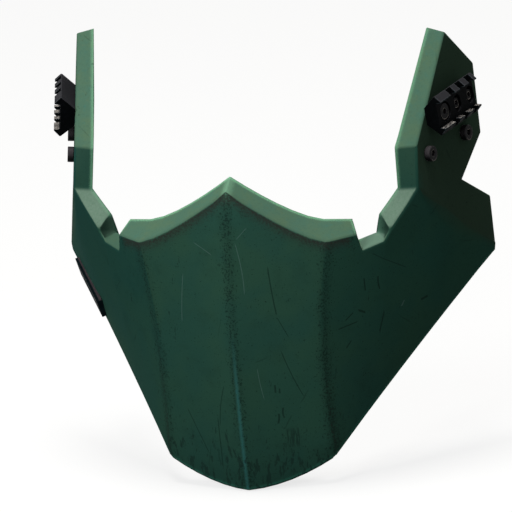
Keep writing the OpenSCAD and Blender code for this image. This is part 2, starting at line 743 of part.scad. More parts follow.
// Places on the shell's inner face, in millimetres across and down from the middle of a pad, given
// as column and row.
chin_step = norm(inner[0][rows] - inner[0][0]) / rows;
chin_place = function (x, down) let (r = rows + (down - chin_pad_up) / chin_step, b = floor(r))
    [x * front_cols / norm(inner[front_cols][b] - inner[0][b]), r];
jaw_runs = [for (k = [0:len(ribs) - 1]) [ribs[k], front_cols + 1 + k]];
function rib_length(j) = norm(inner[j][rows] - inner[j][0]);
jaw_place = function (x, down) let (c = lookup(jaw_pad_at + x, jaw_runs), b = floor(c))
    [c, rows / 2 + down * rows / mix(rib_length(b), rib_length(b + 1), c - b)];
pad_lift = glue_gap + patch_thickness + soft_gap;
patch_inset = [patch_margin, patch_margin];
chin_half = [chin_pad_w, chin_pad_h] / 2;
jaw_half = [jaw_pad_w, jaw_pad_h] / 2;

module chin_patch() {
    color(hook)
    over_shell(chin_place, chin_half - patch_inset, sheet_rings(), glue_gap, patch_thickness, 0);
}

module chin_pad() {
    color(foam)
    over_shell(chin_place, chin_half, cushion_rings(), pad_lift, pad_edge, pad_crown);
}

module jaw_patch(side) {
    color(hook)
    on_side(side)
    over_shell(jaw_place, jaw_half - patch_inset, sheet_rings(), glue_gap, patch_thickness, 0);
}

module jaw_pad(side) {
    color(foam)
    on_side(side) over_shell(jaw_place, jaw_half, cushion_rings(), pad_lift, pad_edge, pad_crown);
}

guard_shell();
accessory_rail(1);  // accessory_rail_left
accessory_rail(-1);  // accessory_rail_right
rail_screws(1);  // rail_screws_left
rail_screws(-1);  // rail_screws_right
rail_inserts(1);  // rail_inserts_left
rail_inserts(-1);  // rail_inserts_right
arm_bushes(1);  // arm_bushes_left
arm_bushes(-1);  // arm_bushes_right
backing_plate(1);  // backing_plate_left
backing_plate(-1);  // backing_plate_right
clamp_screw(1, clamp_at[0]);  // clamp_screw_front_left
clamp_screw(1, clamp_at[1]);  // clamp_screw_rear_left
clamp_screw(-1, clamp_at[0]);  // clamp_screw_front_right
clamp_screw(-1, clamp_at[1]);  // clamp_screw_rear_right
clamp_nut(1, clamp_at[0]);  // clamp_nut_front_left
clamp_nut(1, clamp_at[1]);  // clamp_nut_rear_left
clamp_nut(-1, clamp_at[0]);  // clamp_nut_front_right
clamp_nut(-1, clamp_at[1]);  // clamp_nut_rear_right
flank_plate();
flank_screws();
flank_inserts();
chin_patch();
jaw_patch(1);  // jaw_patch_left
jaw_patch(-1);  // jaw_patch_right
chin_pad();
jaw_pad(1);  // jaw_pad_left
jaw_pad(-1);  // jaw_pad_right
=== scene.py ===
import json
import math

import bmesh
import bpy
from mathutils import Matrix, Vector
from mathutils.bvhtree import BVHTree


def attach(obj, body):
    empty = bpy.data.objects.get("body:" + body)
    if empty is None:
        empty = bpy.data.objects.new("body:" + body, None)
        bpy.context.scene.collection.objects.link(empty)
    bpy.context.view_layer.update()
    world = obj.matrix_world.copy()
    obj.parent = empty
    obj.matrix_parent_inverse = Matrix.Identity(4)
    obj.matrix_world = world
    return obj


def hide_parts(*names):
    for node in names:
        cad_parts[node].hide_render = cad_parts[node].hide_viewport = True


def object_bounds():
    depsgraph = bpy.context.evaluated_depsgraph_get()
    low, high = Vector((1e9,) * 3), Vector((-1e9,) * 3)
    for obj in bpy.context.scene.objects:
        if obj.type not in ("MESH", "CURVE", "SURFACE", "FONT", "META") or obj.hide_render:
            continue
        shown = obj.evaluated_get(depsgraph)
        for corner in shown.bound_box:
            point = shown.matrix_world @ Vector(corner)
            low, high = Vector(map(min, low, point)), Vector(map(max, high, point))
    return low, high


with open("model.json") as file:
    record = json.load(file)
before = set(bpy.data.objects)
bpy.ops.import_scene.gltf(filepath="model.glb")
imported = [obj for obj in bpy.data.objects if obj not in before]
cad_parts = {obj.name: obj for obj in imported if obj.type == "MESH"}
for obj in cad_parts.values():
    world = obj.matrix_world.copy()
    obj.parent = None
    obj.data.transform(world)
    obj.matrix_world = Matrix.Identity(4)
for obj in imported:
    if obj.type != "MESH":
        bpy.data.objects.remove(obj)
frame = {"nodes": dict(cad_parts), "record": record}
cad_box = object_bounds()
nodes = frame["nodes"]
collection = bpy.context.scene.collection

# The view, the floor and the light.
# The guard stands on its chin on a pale studio floor. The camera looks at it from the wearer's left
# of the front and 17 degrees above, from far off with a long lens, as in the photograph.
sight = Vector((-0.26357, 0.91979, -0.2907)).normalized()
upright = Vector((0.00064, 0.30153, 0.95346))
upright = (upright - upright.dot(sight) * sight).normalized()
aside = sight.cross(upright)
target = Vector((-0.00018, -0.02405, -0.05445))
camera_distance = 12.0
view_width = 0.26911

camera = bpy.data.objects.new("camera", bpy.data.cameras.new("camera"))
camera.data.sensor_width = 36
camera.data.lens = 36 * camera_distance / view_width
camera.data.clip_end = 60
camera.matrix_world = Matrix((
    (aside.x, upright.x, -sight.x, target.x - sight.x * camera_distance),
    (aside.y, upright.y, -sight.y, target.y - sight.y * camera_distance),
    (aside.z, upright.z, -sight.z, target.z - sight.z * camera_distance),
    (0, 0, 0, 1)))
collection.objects.link(camera)
bpy.context.scene.camera = camera
bpy.context.scene.view_settings.view_transform = "Standard"


class Wire:
    """A socket in one material's nodes, so that shader maths reads as plain arithmetic."""

    def __init__(self, finish, socket):
        self.finish = finish
        self.socket = socket

    def maths(self, operation, other=None, flipped=False, clamp=False):
        sides = {0: other, 1: self} if flipped else {0: self, 1: other}
        return self.finish.node("ShaderNodeMath", {"operation": operation, "use_clamp": clamp}, sides)

    def __add__(self, other): return self.maths("ADD", other)
    def __radd__(self, other): return self.maths("ADD", other)
    def __sub__(self, other): return self.maths("SUBTRACT", other)
    def __rsub__(self, other): return self.maths("SUBTRACT", other, flipped=True)
    def __mul__(self, other): return self.maths("MULTIPLY", other)
    def __rmul__(self, other): return self.maths("MULTIPLY", other)
    def __truediv__(self, other): return self.maths("DIVIDE", other)
    def __pow__(self, other): return self.maths("POWER", other)
    def __abs__(self): return self.maths("ABSOLUTE")

    def clamped(self):
        return self.maths("MULTIPLY", 1, clamp=True)

    def step(self, start, end):
        """0 below start, 1 above end, smooth between them."""
        return self.finish.node("ShaderNodeMapRange", {"interpolation_type": "SMOOTHSTEP"},
                                {"Value": self, "From Min": start, "From Max": end})

    def near(self, centre, full, none):
        """1 within full of the centre, 0 beyond none."""
        return 1 - abs(self - centre).step(full, none)


class Finish:
    """A material or world, built node by node."""

    def __init__(self, name, owner=None, **fixed):
        self.material = owner or bpy.data.materials.new(name)
        self.material.use_nodes = True
        self.tree = self.material.node_tree
        self.shader = self.tree.nodes.get("Principled BSDF")
        for socket, value in fixed.items():
            self.shader.inputs[socket.replace("_", " ")].default_value = value

    def node(self, kind, settings=None, inputs=None, output=0):
        made = self.tree.nodes.new(kind)
        for name, value in (settings or {}).items():
            setattr(made, name, value)
        for name, value in (inputs or {}).items():
            if isinstance(value, Wire):
                self.tree.links.new(value.socket, made.inputs[name])
            elif value is not None:
                made.inputs[name].default_value = value
        return Wire(self, made.outputs[output])

    def mix(self, under, over, share):
        """One colour laid over another, by share."""
        sockets = {0: share, 6: under, 7: over}
        return self.node("ShaderNodeMix", {"data_type": "RGBA", "clamp_factor": True}, sockets, output=2)

    def feed(self, socket, wire):
        self.tree.links.new(wire.socket, self.shader.inputs[socket])

    def ray(self):
        """1 for what the camera sees directly, in a reflection or through glass."""
        path = self.node("ShaderNodeLightPath").socket.node
        kinds = [Wire(self, path.outputs[f"Is {k} Ray"]) for k in ("Camera", "Glossy", "Transmission")]
        return (kinds[0] + kinds[1] + kinds[2]).clamped()

    def place(self):
        """Where a point of the piece lies, in millimetres."""
        spot = self.node("ShaderNodeTexCoord", output="Object")
        return self.node("ShaderNodeVectorMath", {"operation": "SCALE"}, {0: spot, "Scale": 1000.0})

    def parts(self, vector):
        """The three numbers of a vector."""
        split = self.node("ShaderNodeSeparateXYZ", None, {0: vector})
        return [Wire(self, split.socket.node.outputs[k]) for k in range(3)]

    def facing(self):
        """Which way the surface faces."""
        return self.parts(self.node("ShaderNodeNewGeometry", output="Normal"))

    def softened(self, reach):
        """Which way the surface would face with its edges rounded over this many millimetres."""
        return self.node("ShaderNodeBevel", {"samples": 6}, {"Radius": reach / 1000})

    def edges(self, reach):
        """0 on the flat, rising to 1 on an edge, over this many millimetres."""
        soft = self.softened(reach)
        flat = self.node("ShaderNodeNewGeometry", output="Normal")
        same = self.node("ShaderNodeVectorMath", {"operation": "DOT_PRODUCT"}, {0: soft, 1: flat}, "Value")
        return ((1 - same) * 3.4).maths("POWER", 0.5, clamp=True)

    def noise(self, where, scale, detail=2.0, roughness=0.5):
        return self.node("ShaderNodeTexNoise", None, {
            "Vector": where, "Scale": scale, "Detail": detail, "Roughness": roughness})

    def stretched(self, vector, x=1.0, y=1.0, z=1.0):
        return self.node("ShaderNodeVectorMath", {"operation": "MULTIPLY"}, {0: vector, 1: (x, y, z)})

    def hairs(self, where, scale, thickness, warp=0.6):
        """Thin wandering lines, as hairline scratches."""
        drift = self.node("ShaderNodeTexNoise", None, {
            "Vector": where, "Scale": scale * 0.7, "Detail": 1.0}, output=1)
        drift = self.node("ShaderNodeVectorMath", {"operation": "SCALE"}, {0: drift, "Scale": warp / scale})
        bent = self.node("ShaderNodeVectorMath", {"operation": "ADD"}, {0: where, 1: drift})
        gap = self.node("ShaderNodeTexVoronoi", {"feature": "DISTANCE_TO_EDGE"}, {
            "Vector": bent, "Scale": scale})
        return 1 - gap.step(thickness * scale * 0.3, thickness * scale)

    def relief(self, height, depth):
        """A surface relief of the given depth, in millimetres."""
        return self.node("ShaderNodeBump", None, {
            "Height": height, "Distance": depth / 1000, "Strength": 1.0})


def colour(red, green, blue):
    """A colour as the eye reads it, 0 to 255, in the units that a shader takes."""
    return tuple(((c / 255 + 0.055) / 1.055) ** 2.4 for c in (red, green, blue)) + (1.0,)


pale = Finish("pale_floor", Roughness=0.9, Specular_IOR_Level=0.0)
seen = pale.ray()
glow = pale.node("ShaderNodeEmission", None, {"Color": (1, 1, 1, 1), "Strength": 1.0})
pale.feed("Base Color", pale.mix((0.2, 0.2, 0.2, 1), (0.97, 0.97, 0.97, 1), seen))
shown = pale.node("ShaderNodeMixShader", None, {
    0: seen * 0.77, 1: Wire(pale, pale.shader.outputs[0]), 2: glow})
pale.tree.links.new(shown.socket, pale.tree.nodes["Material Output"].inputs["Surface"])

floor_mesh = bpy.data.meshes.new("floor")
floor_z = cad_box[0][2] - 0.0002
floor_half = 14
floor_corners = [(x * floor_half, y * floor_half, floor_z) for x, y in ((-1, -1), (1, -1), (1, 1), (-1, 1))]
floor_mesh.from_pydata(floor_corners, [], [(0, 1, 2, 3)])
floor_mesh.materials.append(pale.material)
floor = bpy.data.objects.new("floor", floor_mesh)
collection.objects.link(floor)

world = bpy.data.worlds.new("studio")
bpy.context.scene.world = world
air = Finish("studio", owner=world)
air_light = 0.16
back = air.tree.nodes["Background"]
back.inputs["Color"].default_value = (1, 1, 1, 1)
air.tree.links.new((air.ray() * (1 - air_light) + air_light).socket, back.inputs["Strength"])

for name, spot, aim, size, power, tint in (
        ("top_lamp", (-0.1, -0.1, 1.9), (0, 0, -0.05), 0.9, 34.0, (1.0, 0.98, 0.94)),
        ("front_lamp", (-0.62, -1.8, 1.0), (0, 0, -0.05), 0.9, 22.0, (0.96, 1.0, 1.0))):
    lamp = bpy.data.objects.new(name, bpy.data.lights.new(name, "AREA"))
    lamp.data.shape = "DISK"
    lamp.data.size = size
    lamp.data.energy = power
    lamp.data.color = tint
    lamp.location = spot
    lamp.rotation_euler = (Vector(aim) - Vector(spot)).to_track_quat("-Z", "Y").to_euler()
    collection.objects.link(lamp)

# The guard shell.
# One thick-walled moulding of glass-filled laminate, sprayed matt green. Its edges are rounded over,
# and the paint is rubbed and speckled along the keel, the creases and the rim. Light and shade are also
# painted into its colour, by which way each face turns.
edge_round = 0.0012
slight_share = 0.3
inner_share = 0.6
rounded_from = math.radians(15)
short_edge = 0.0009
fitted = [n for n in nodes if n.startswith(("arm_bushes", "backing_plate", "rail_inserts", "flank_"))]
rear_corners = [Vector((side * 0.1155, 0.0290, -0.0657)) for side in (1, -1)]
corner_reach = 0.0035
peak_half_width = 0.009
peak_foot = -0.025


def skin_of(node):
    """A copy of a CAD node's mesh, welded, with its flat faces joined up."""
    mesh = nodes[node].data.copy()
    if "custom_normal" in mesh.attributes:
        mesh.attributes.remove(mesh.attributes["custom_normal"])
    work = bmesh.new()
    work.from_mesh(mesh)
    bmesh.ops.remove_doubles(work, verts=work.verts, dist=2e-5)
    bmesh.ops.dissolve_limit(work, angle_limit=math.radians(0.3), verts=work.verts, edges=work.edges)
    return mesh, work


def put_in_place(piece, node, finish, body="guard"):
    """Shows a piece instead of its CAD node."""
    piece.data.materials.clear()
    piece.data.materials.append(finish.material)
    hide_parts(node)
    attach(piece, body)


mesh, work = skin_of("guard_shell")
trees = [BVHTree.FromObject(nodes[n], bpy.context.evaluated_depsgraph_get()) for n in fitted]
weight = work.edges.layers.float.new("bevel_weight_edge")


def by_a_fitting(vertex):
    return any(tree.find_nearest(vertex.co, 0.0003)[0] is not None for tree in trees)


# Edges round the fittings stay sharp. Short edges and the nose peak get a slight round.
for e in work.edges:
    if len(e.link_faces) == 2 and e.calc_face_angle(0) > rounded_from:
        at_corner = all(any((v.co - c).length < corner_reach for c in rear_corners) for v in e.verts)
        if at_corner or by_a_fitting(e.verts[0]) and by_a_fitting(e.verts[1]):
            continue
        inside = Vector((-math.copysign(0.6, e.verts[0].co.x), 0.8, 0))
        inner = any(f.normal.dot(inside) > 0.5 for f in e.link_faces)
        at_peak = all(abs(v.co.x) < peak_half_width and v.co.z > peak_foot for v in e.verts)
        slight = e.calc_length() < short_edge or at_peak
        e[weight] = slight_share if slight else inner_share if inner else 1.0
work.to_mesh(mesh)
work.free()
shell = bpy.data.objects.new("guard_shell_painted", mesh)
collection.objects.link(shell)
rounding = shell.modifiers.new("rounding", "BEVEL")
rounding.limit_method = "WEIGHT"
rounding.width = edge_round
rounding.segments = 3
rounding.use_clamp_overlap = False
mesh.shade_smooth()
mesh.set_sharp_from_angle(angle=math.radians(35))

paint = Finish("green_paint", Specular_IOR_Level=0.03)
spot = paint.place()
x, y, z = paint.parts(spot)
face_x, face_y, face_z = paint.facing()
outside = (face_y * -1).step(-0.15, 0.1)
upward = face_z.step(0.25, 0.42)
inward = face_x * x.maths("SIGN") * -1
_, wide_y, wide_z = paint.parts(paint.softened(12.0))
near_x, near_y, near_z = paint.parts(paint.softened(3.0))

cloud = paint.noise(spot, 0.032, 3.0, 0.55)
patch = paint.noise(spot, 0.075, 4.0, 0.6)
grain = paint.noise(spot, 0.8, 4.0, 0.65)
tone = paint.mix(colour(40, 77, 66), colour(45, 80, 65), cloud.step(0.36, 0.64))
tone = paint.mix(tone, colour(36, 66, 54), patch.step(0.5, 0.78) * 0.45)
tone = paint.mix(tone, colour(55, 98, 82), grain.step(0.5, 0.75) * 0.12)
tone = paint.mix(tone, colour(30, 66, 60), (z * -1).step(70.0, 150.0) * 0.3)

# The up-facing rims are painted paler, as lit from above, and mottled; the two sloped steps and the nose
# ridge carry a painted highlight.
lit_rim = paint.mix(colour(74, 107, 90), colour(80, 108, 86), patch.step(0.38, 0.68))
mottle = paint.noise(spot, 0.28, 4.0, 0.7)
lit_rim = paint.mix(lit_rim, colour(64, 108, 98), mottle.step(0.54, 0.7) * 0.4)
lit_rim = paint.mix(lit_rim, colour(94, 110, 82), (1 - mottle.step(0.28, 0.44)) * 0.35)
lit_rim = paint.mix(lit_rim, colour(60, 86, 74), grain.step(0.5, 0.8) * 0.5)
ridge_highlight = (x + (grain - 0.5) * 2.0).near(0.0, 0.2, 4.2)
lit_rim = paint.mix(lit_rim, colour(112, 156, 128), ridge_highlight * 0.7)
tone = paint.mix(tone, lit_rim, upward)
step = z.near(-23.5, 8.0, 10.5) * abs(x).step(64.0, 70.0) * face_z.step(0.1, 0.22)
step = step * (1 - inward.step(0.2, 0.4))
# A painted highlight on the sloped steps.
step_highlight = paint.mix(colour(122, 147, 130), colour(106, 136, 116), grain.step(0.2, 0.8))
tone = paint.mix(tone, step_highlight, step)

# The small facet between the step and the rim is painted dark as shaded, most of all on the right. The
# ledge beside it is painted lighter on the left, as lit, and darker on the right.
corner = z.near(-34.5, 5.5, 7.5) * abs(x).near(75.0, 8.0, 11.0)
facet = corner * inward.step(0.15, 0.35) * (1 - inward.step(0.65, 0.8))
deep = (abs(x) + (grain - 0.5) * 2.5).step(71.0, 77.5)
on_left = x.step(-1.0, 1.0)
facet_shade = paint.mix(colour(56, 80, 67), colour(25, 42, 35), deep)
facet_shade = paint.mix(facet_shade, paint.mix(colour(72, 108, 90), colour(32, 54, 45), deep), on_left)
tone = paint.mix(tone, facet_shade, facet * 0.92)
ledge = z.near(-40.5, 3.2, 4.6) * abs(x).near(69.5, 5.5, 7.0) * upward
tone = paint.mix(tone, paint.mix(colour(56, 82, 68), colour(110, 138, 122), on_left), ledge * 0.55)

# The upright foot of each arm and the arms' outer faces are painted darker and greyer as shaded, and
# the cheeks a bluer painted shade, darker on the right. A painted pool of light lies low on the front,
# left of the keel, and the chin darkens towards its bottom.
foot = z.near(-3.0, 9.0, 11.5) * abs(x).step(80.0, 84.0) * (face_y * -1).step(0.75, 0.9)
tone = paint.mix(tone, colour(34, 62, 52), foot * 0.55)
tone = paint.mix(tone, colour(52, 68, 54), abs(face_x).step(0.88, 0.95) * 0.8)
cheek = abs(face_x).near(0.62, 0.25, 0.3) * (z + 115.0).step(0.0, 60.0)
cheek = cheek * (1 - upward) * (1 - inward.step(0.0, 0.2))
tone = paint.mix(tone, paint.mix(colour(14, 64, 62), colour(34, 76, 66), on_left), cheek * 0.4)
lit = x.near(24.0, 8.0, 26.0) * z.near(-118.0, 14.0, 34.0)
tone = paint.mix(tone, colour(48, 84, 66), lit * 0.3)
tone = paint.mix(tone, colour(20, 44, 36), (z * -1).step(138.0, 168.0) * 0.3)

# Dark specks lie along the keel, the two creases and just under the rim.
down = (-33.0 - z) / 120.0
crease_at = 51.3 - down * 6.4 - down * (1 - down) * 16.8
by_keel = x.near(-0.6, 1.0, 6.0)
by_crease = (abs(x) - crease_at).near(0.5, 0.5, 6.5) * z.near(-95.0, 58.0, 66.0)
ink = paint.noise(spot, 1.0, 3.0, 0.7)
drift = paint.noise(spot, 0.12, 2.0, 0.5)
under_rim = (wide_z - face_z).step(0.0, 0.2)
beside_front = (face_y - wide_y).step(0.0, 0.25) * abs(face_x).step(0.6, 0.8)
grimy = under_rim.maths("MAXIMUM", beside_front) * outside * (1 - upward) * (1 - abs(x).step(60.0, 64.0))
specks = (ink + by_keel * 0.115 + by_crease * 0.08 + grimy ** 0.5 * 0.2 + drift * 0.09).step(0.68, 0.72)
specks = specks * outside * (1 - upward) * (1 - step)
frayed = (drift - 0.5) * 5.0 + (ink - 0.5) * 4.0
soft_keel = (x + frayed * 0.5).near(-0.6, 0.4, 4.4) * (z * -1).near(60.0, 45.0, 75.0) * 0.22
soft_crease = (abs(x) - crease_at + frayed).near(0.4, 0.3, 4.4) * (0.06 + patch * 0.32)
# The soft dark band along the keel is wear; the soft dark line along each crease is partly wear and partly
# painted shade where the front turns into the cheek.
keel_wear_and_crease_shade = soft_keel.maths("MAXIMUM", soft_crease) * outside * (1 - upward)
tone = paint.mix(tone, colour(28, 46, 40), keel_wear_and_crease_shade * (0.5 + ink))
tone = paint.mix(tone, colour(18, 35, 31), specks * 0.64)
grime = (grimy + (ink - 0.5) * 2.4).step(0.46, 0.84)
tone = paint.mix(tone, colour(52, 54, 49), grime * 0.85)

# The rounded inner edge of the rim and arms carries a painted highlight, and the chin's lower edge a
# fainter one.
on_arm = abs(x).step(62.0, 66.0)
to_inside = ((face_x - near_x) * x.maths("SIGN")).step(0.06, 0.2) * inward.near(0.2, 0.4, 0.55) * on_arm
to_behind = near_y.step(-0.36, -0.15) * (1 - near_y.step(0.4, 0.6)) * upward * (1 - on_arm)
edge_highlight = (to_inside * 0.55 + to_behind) * (1 - corner)
tone = paint.mix(tone, colour(132, 194, 152), edge_highlight * (0.4 + grain * 0.5) * outside)
chin_edge_highlight = (face_z - near_z).step(0.03, 0.14) * (z * -1).step(60.0, 80.0) * outside
tone = paint.mix(tone, colour(52, 122, 102), chin_edge_highlight * 0.5)

# The lower keel is polished to a thin bluish line.
keel_line = (x + (ink - 0.5) * 2.2).near(-0.4, 0.0, 1.6) * (z * -1).step(75.0, 115.0) * outside
keel_line = keel_line * (ink * 1.8 - 0.15).clamped()
tone = paint.mix(tone, colour(56, 118, 116), keel_line * 0.62)


def scratch(across, along, middle, place, slope, bend, half_length, half_width):
    """A curved hairline on the face that looks along the third axis."""
    run = along - middle
    off = across - place - run * slope - run * run * bend
    return off.near(0.0, half_width * 0.4, half_width) * run.near(0.0, half_length * 0.8, half_length)


light_marks = [
    scratch(x, z, -45.0, 6.3, -0.1285, -0.0046, 14.5, 0.3),
    scratch(x, z, -26.4, 7.2, 0.963, 0.0, 3.0, 0.3),
    scratch(z, x, -14.7, -34.7, -0.62, 0.0, 5.2, 0.32),
    scratch(x, z, -62.0, -28.5, 0.10, 0.002, 14.0, 0.28),
    scratch(x, z, -108.0, 11.5, -0.12, 0.004, 9.0, 0.25),
    scratch(x, z, -78.6, 79.2, 0.5, 0.0, 1.6, 0.45)]
dark_marks = [
    scratch(x, z, -58.0, 21.0, -0.11, 0.0014, 14.0, 0.42),
    scratch(x, z, -104.0, 27.5, -0.35, 0.003, 14.0, 0.3),
    scratch(z, x, 56.0, -82.4, 0.21, 0.0, 4.6, 0.4),
    scratch(z, x, 70.0, -85.5, 3.6, 0.0, 1.7, 1.4),
    scratch(z, x, 76.6, -51.8, -1.05, 0.0, 6.8, 0.3),
    scratch(x, z, -78.0, 25.3, -0.45, 0.0, 6.0, 0.26),
    scratch(x, z, -61.6, 65.3, 0.026, 0.0, 3.9, 0.36),
    scratch(x, z, -62.6, 71.0, 0.01, 0.02, 4.2, 0.42),
    scratch(z, x, 62.6, -76.3, -0.8, 0.0, 1.5, 1.0),
    scratch(z, x, 57.0, -77.6, 0.9, 0.0, 2.0, 0.5),
    scratch(z, x, 55.4, -93.0, 1.38, 0.0, 1.4, 0.6),
    scratch(z, x, 87.6, -79.6, 0.3, 0.0, 1.5, 0.9),
    scratch(x, z, -125.2, 21.4, 0.0, 0.07, 3.2, 0.55),
    scratch(x, z, -128.2, 19.3, 0.15, -0.05, 3.0, 0.7),
    scratch(x, z, -111.5, 18.8, 0.0, 0.0, 2.4, 0.6),
    scratch(x, z, -112.8, 20.9, 0.0, 0.0, 1.5, 0.5),
    scratch(x, z, -120.0, -11.0, 0.20, 0.006, 12.0, 0.3),
    scratch(x, z, -141.0, -13.5, 0.0, 0.0, 15.0, 0.35),
    scratch(x, z, -136.0, -26.0, -0.42, 0.0, 13.0, 0.3)]
hair = paint.hairs(paint.stretched(spot, 1.0, 1.0, 0.45), 0.028, 0.2)
hair = hair * paint.noise(spot, 0.07, 1.0).step(0.58, 0.68)
light = light_marks[0]
for mark in light_marks[1:]:
    light = light.maths("MAXIMUM", mark)
dark = hair * 0.5
for mark in dark_marks:
    dark = dark.maths("MAXIMUM", mark)
light = light * outside * (0.4 + grain)
dark = dark * outside
tone = paint.mix(tone, colour(84, 114, 108), light * 0.5)
tone = paint.mix(tone, colour(20, 38, 32), dark * 0.65)

# Chips near the chin, drawn out up and down, and one scraped patch right of the keel.
drawn = paint.noise(paint.stretched(spot, 1.0, 1.0, 0.3), 0.36, 5.0, 0.65)
low = (z * -1).step(118.0, 160.0) * 0.14
streaks = paint.noise(paint.stretched(spot, 1.3, 1.3, 0.1), 0.9, 1.0).step(0.4, 0.52)
scraped = x.near(25.4, 2.6, 4.0) * z.near(-139.5, 3.5, 6.5) * streaks
chips = (drawn + low).step(0.665, 0.71) * (face_y * -1).step(0.5, 0.7)
chips = chips.maths("MAXIMUM", scraped * 0.9)
tone = paint.mix(tone, colour(24, 42, 38), chips * 0.6)

paint.feed("Base Color", tone)
paint.feed("Roughness", 0.85 + cloud * 0.1 - keel_line * 0.3 - light * 0.2)
peel = paint.noise(spot, 1.5, 2.0, 0.5)
worn_off = specks * 0.35 + chips * 0.5 + dark * 0.6 + light * 0.3
paint.feed("Normal", paint.relief(peel * 0.35 - worn_off, 0.12))
put_in_place(shell, "guard_shell", paint)

# Threaded inserts and sleeves in the shell.
# Turned brass inserts take the rail and plate screws, and steel sleeves line the clamp bores. They
# are pressed in from outside and mostly hidden.
brass = Finish("turned_brass", Metallic=1.0)
where = brass.place()
rings = brass.noise(brass.stretched(where, 3.0, 3.0, 3.0), 1.6, 3.0, 0.6)
tarnish = brass.noise(where, 0.35, 3.0, 0.6)
tone = brass.mix(colour(196, 164, 98), colour(140, 108, 60), tarnish.step(0.4, 0.7))
brass.feed("Base Color", brass.mix(tone, colour(92, 76, 52), rings.step(0.58, 0.72) * 0.5))
brass.feed("Roughness", 0.28 + rings * 0.25)
brass.feed("Normal", brass.relief(rings, 0.03))

sleeve = Finish("turned_steel", Metallic=1.0)
where = sleeve.place()
rings = sleeve.noise(where, 4.0, 3.0, 0.6)
stain = sleeve.noise(where, 0.4, 3.0, 0.6)
sleeve.feed("Base Color", sleeve.mix(colour(168, 170, 172), colour(104, 100, 96), stain.step(0.42, 0.7)))
sleeve.feed("Roughness", 0.3 + rings * 0.25)
sleeve.feed("Normal", sleeve.relief(rings, 0.02))


def paint_on(node, finish):
    """Gives a CAD node that is shown as it is its finish."""
    for held in nodes[node].material_slots:
        held.material = finish.material


for node in ("rail_inserts_left", "rail_inserts_right", "flank_inserts"):
    paint_on(node, brass)
for node in ("arm_bushes_left", "arm_bushes_right"):
    paint_on(node, sleeve)

# The backing plates and clamp nuts.
# Each arm has a phosphated steel plate let into its inner face, and two flanged sleeve nuts that
# clamp the helmet's bracket to it.
phosphate = Finish("phosphated_steel", Metallic=0.55)
where = phosphate.place()
crystal = phosphate.noise(where, 3.2, 3.0, 0.7)
stain = phosphate.noise(where, 0.12, 4.0, 0.6)
rub = phosphate.edges(0.8) * phosphate.noise(where, 0.9, 2.0).step(0.3, 0.6)
tone = phosphate.mix(colour(62, 64, 66), colour(84, 85, 84), stain.step(0.35, 0.7))
tone = phosphate.mix(tone, colour(46, 47, 49), crystal.step(0.5, 0.7) * 0.6)
phosphate.feed("Base Color", phosphate.mix(tone, colour(150, 150, 148), rub * 0.8))
phosphate.feed("Roughness", 0.5 + crystal * 0.18 - rub * 0.15)
phosphate.feed("Normal", phosphate.relief(crystal, 0.03))


def eased(node, width, from_angle=28, segments=2):
    """A CAD node's form with its edges broken by a small round."""
    mesh, work = skin_of(node)
    weight = work.edges.layers.float.new("bevel_weight_edge")
    for e in work.edges:
        if len(e.link_faces) == 2 and e.calc_face_angle(0) > math.radians(from_angle):
            e[weight] = 1.0
    work.to_mesh(mesh)
    work.free()
    piece = bpy.data.objects.new(node + "_eased", mesh)
    collection.objects.link(piece)
    ease = piece.modifiers.new("eased", "BEVEL")
    ease.limit_method = "WEIGHT"
    ease.width = width
    ease.segments = segments
    ease.use_clamp_overlap = True
    mesh.shade_smooth()
    mesh.set_sharp_from_angle(angle=math.radians(35))
    return piece


body_of = {n: b for b, held in frame["record"]["behaviour"]["bodies"].items() for n in held}
for node in nodes:
    if node.startswith("backing_plate"):
        put_in_place(eased(node, 0.0003), node, phosphate)
    elif node.startswith("clamp_nut"):
        put_in_place(eased(node, 0.0002), node, phosphate, body_of[node])

# The clamp screws.
# Four M5 low-head socket screws in black oxide, two under each rail. Turning them draws the nuts.
oxide = Finish("black_oxide", Metallic=0.1, IOR=1.12)
where = oxide.place()
smear = oxide.noise(where, 0.7, 4.0, 0.65)
fine = oxide.noise(where, 3.5, 2.0, 0.6)
rub = oxide.edges(0.4) * oxide.noise(where, 0.8, 2.0).step(0.3, 0.6)
face_x, face_y, face_z = oxide.facing()
end_on = (abs(face_x) * 0.961 - face_y * 0.254 + face_z * 0.107).step(0.8, 0.95)
leans_down = (face_z - oxide.parts(oxide.softened(0.8))[2]).step(0.08, 0.26)
# The head's cylinder side is painted lighter where it turns up and towards the front, as lit; its end face
# stays near black.
side = oxide.mix(colour(8, 10, 11), colour(52, 49, 52), (face_z - face_y * 0.6).step(0.0, 0.9))
tone = oxide.mix(side, oxide.mix(colour(3, 4, 5), colour(14, 14, 16), smear.step(0.4, 0.65)), end_on)
# A pale crescent is painted along the lower rim of each head's end face.
tone = oxide.mix(tone, colour(178, 170, 162), end_on * leans_down * smear.step(0.35, 0.5) * 0.8)
oxide.feed("Base Color", oxide.mix(tone, colour(128, 126, 128), rub * 0.06))
oxide.feed("Roughness", 0.42 + fine * 0.2)
oxide.feed("Normal", oxide.relief(fine, 0.02))
for node in nodes:
    if node.startswith("clamp_screw"):
        put_in_place(eased(node, 0.0004, segments=3), node, oxide, body_of[node])

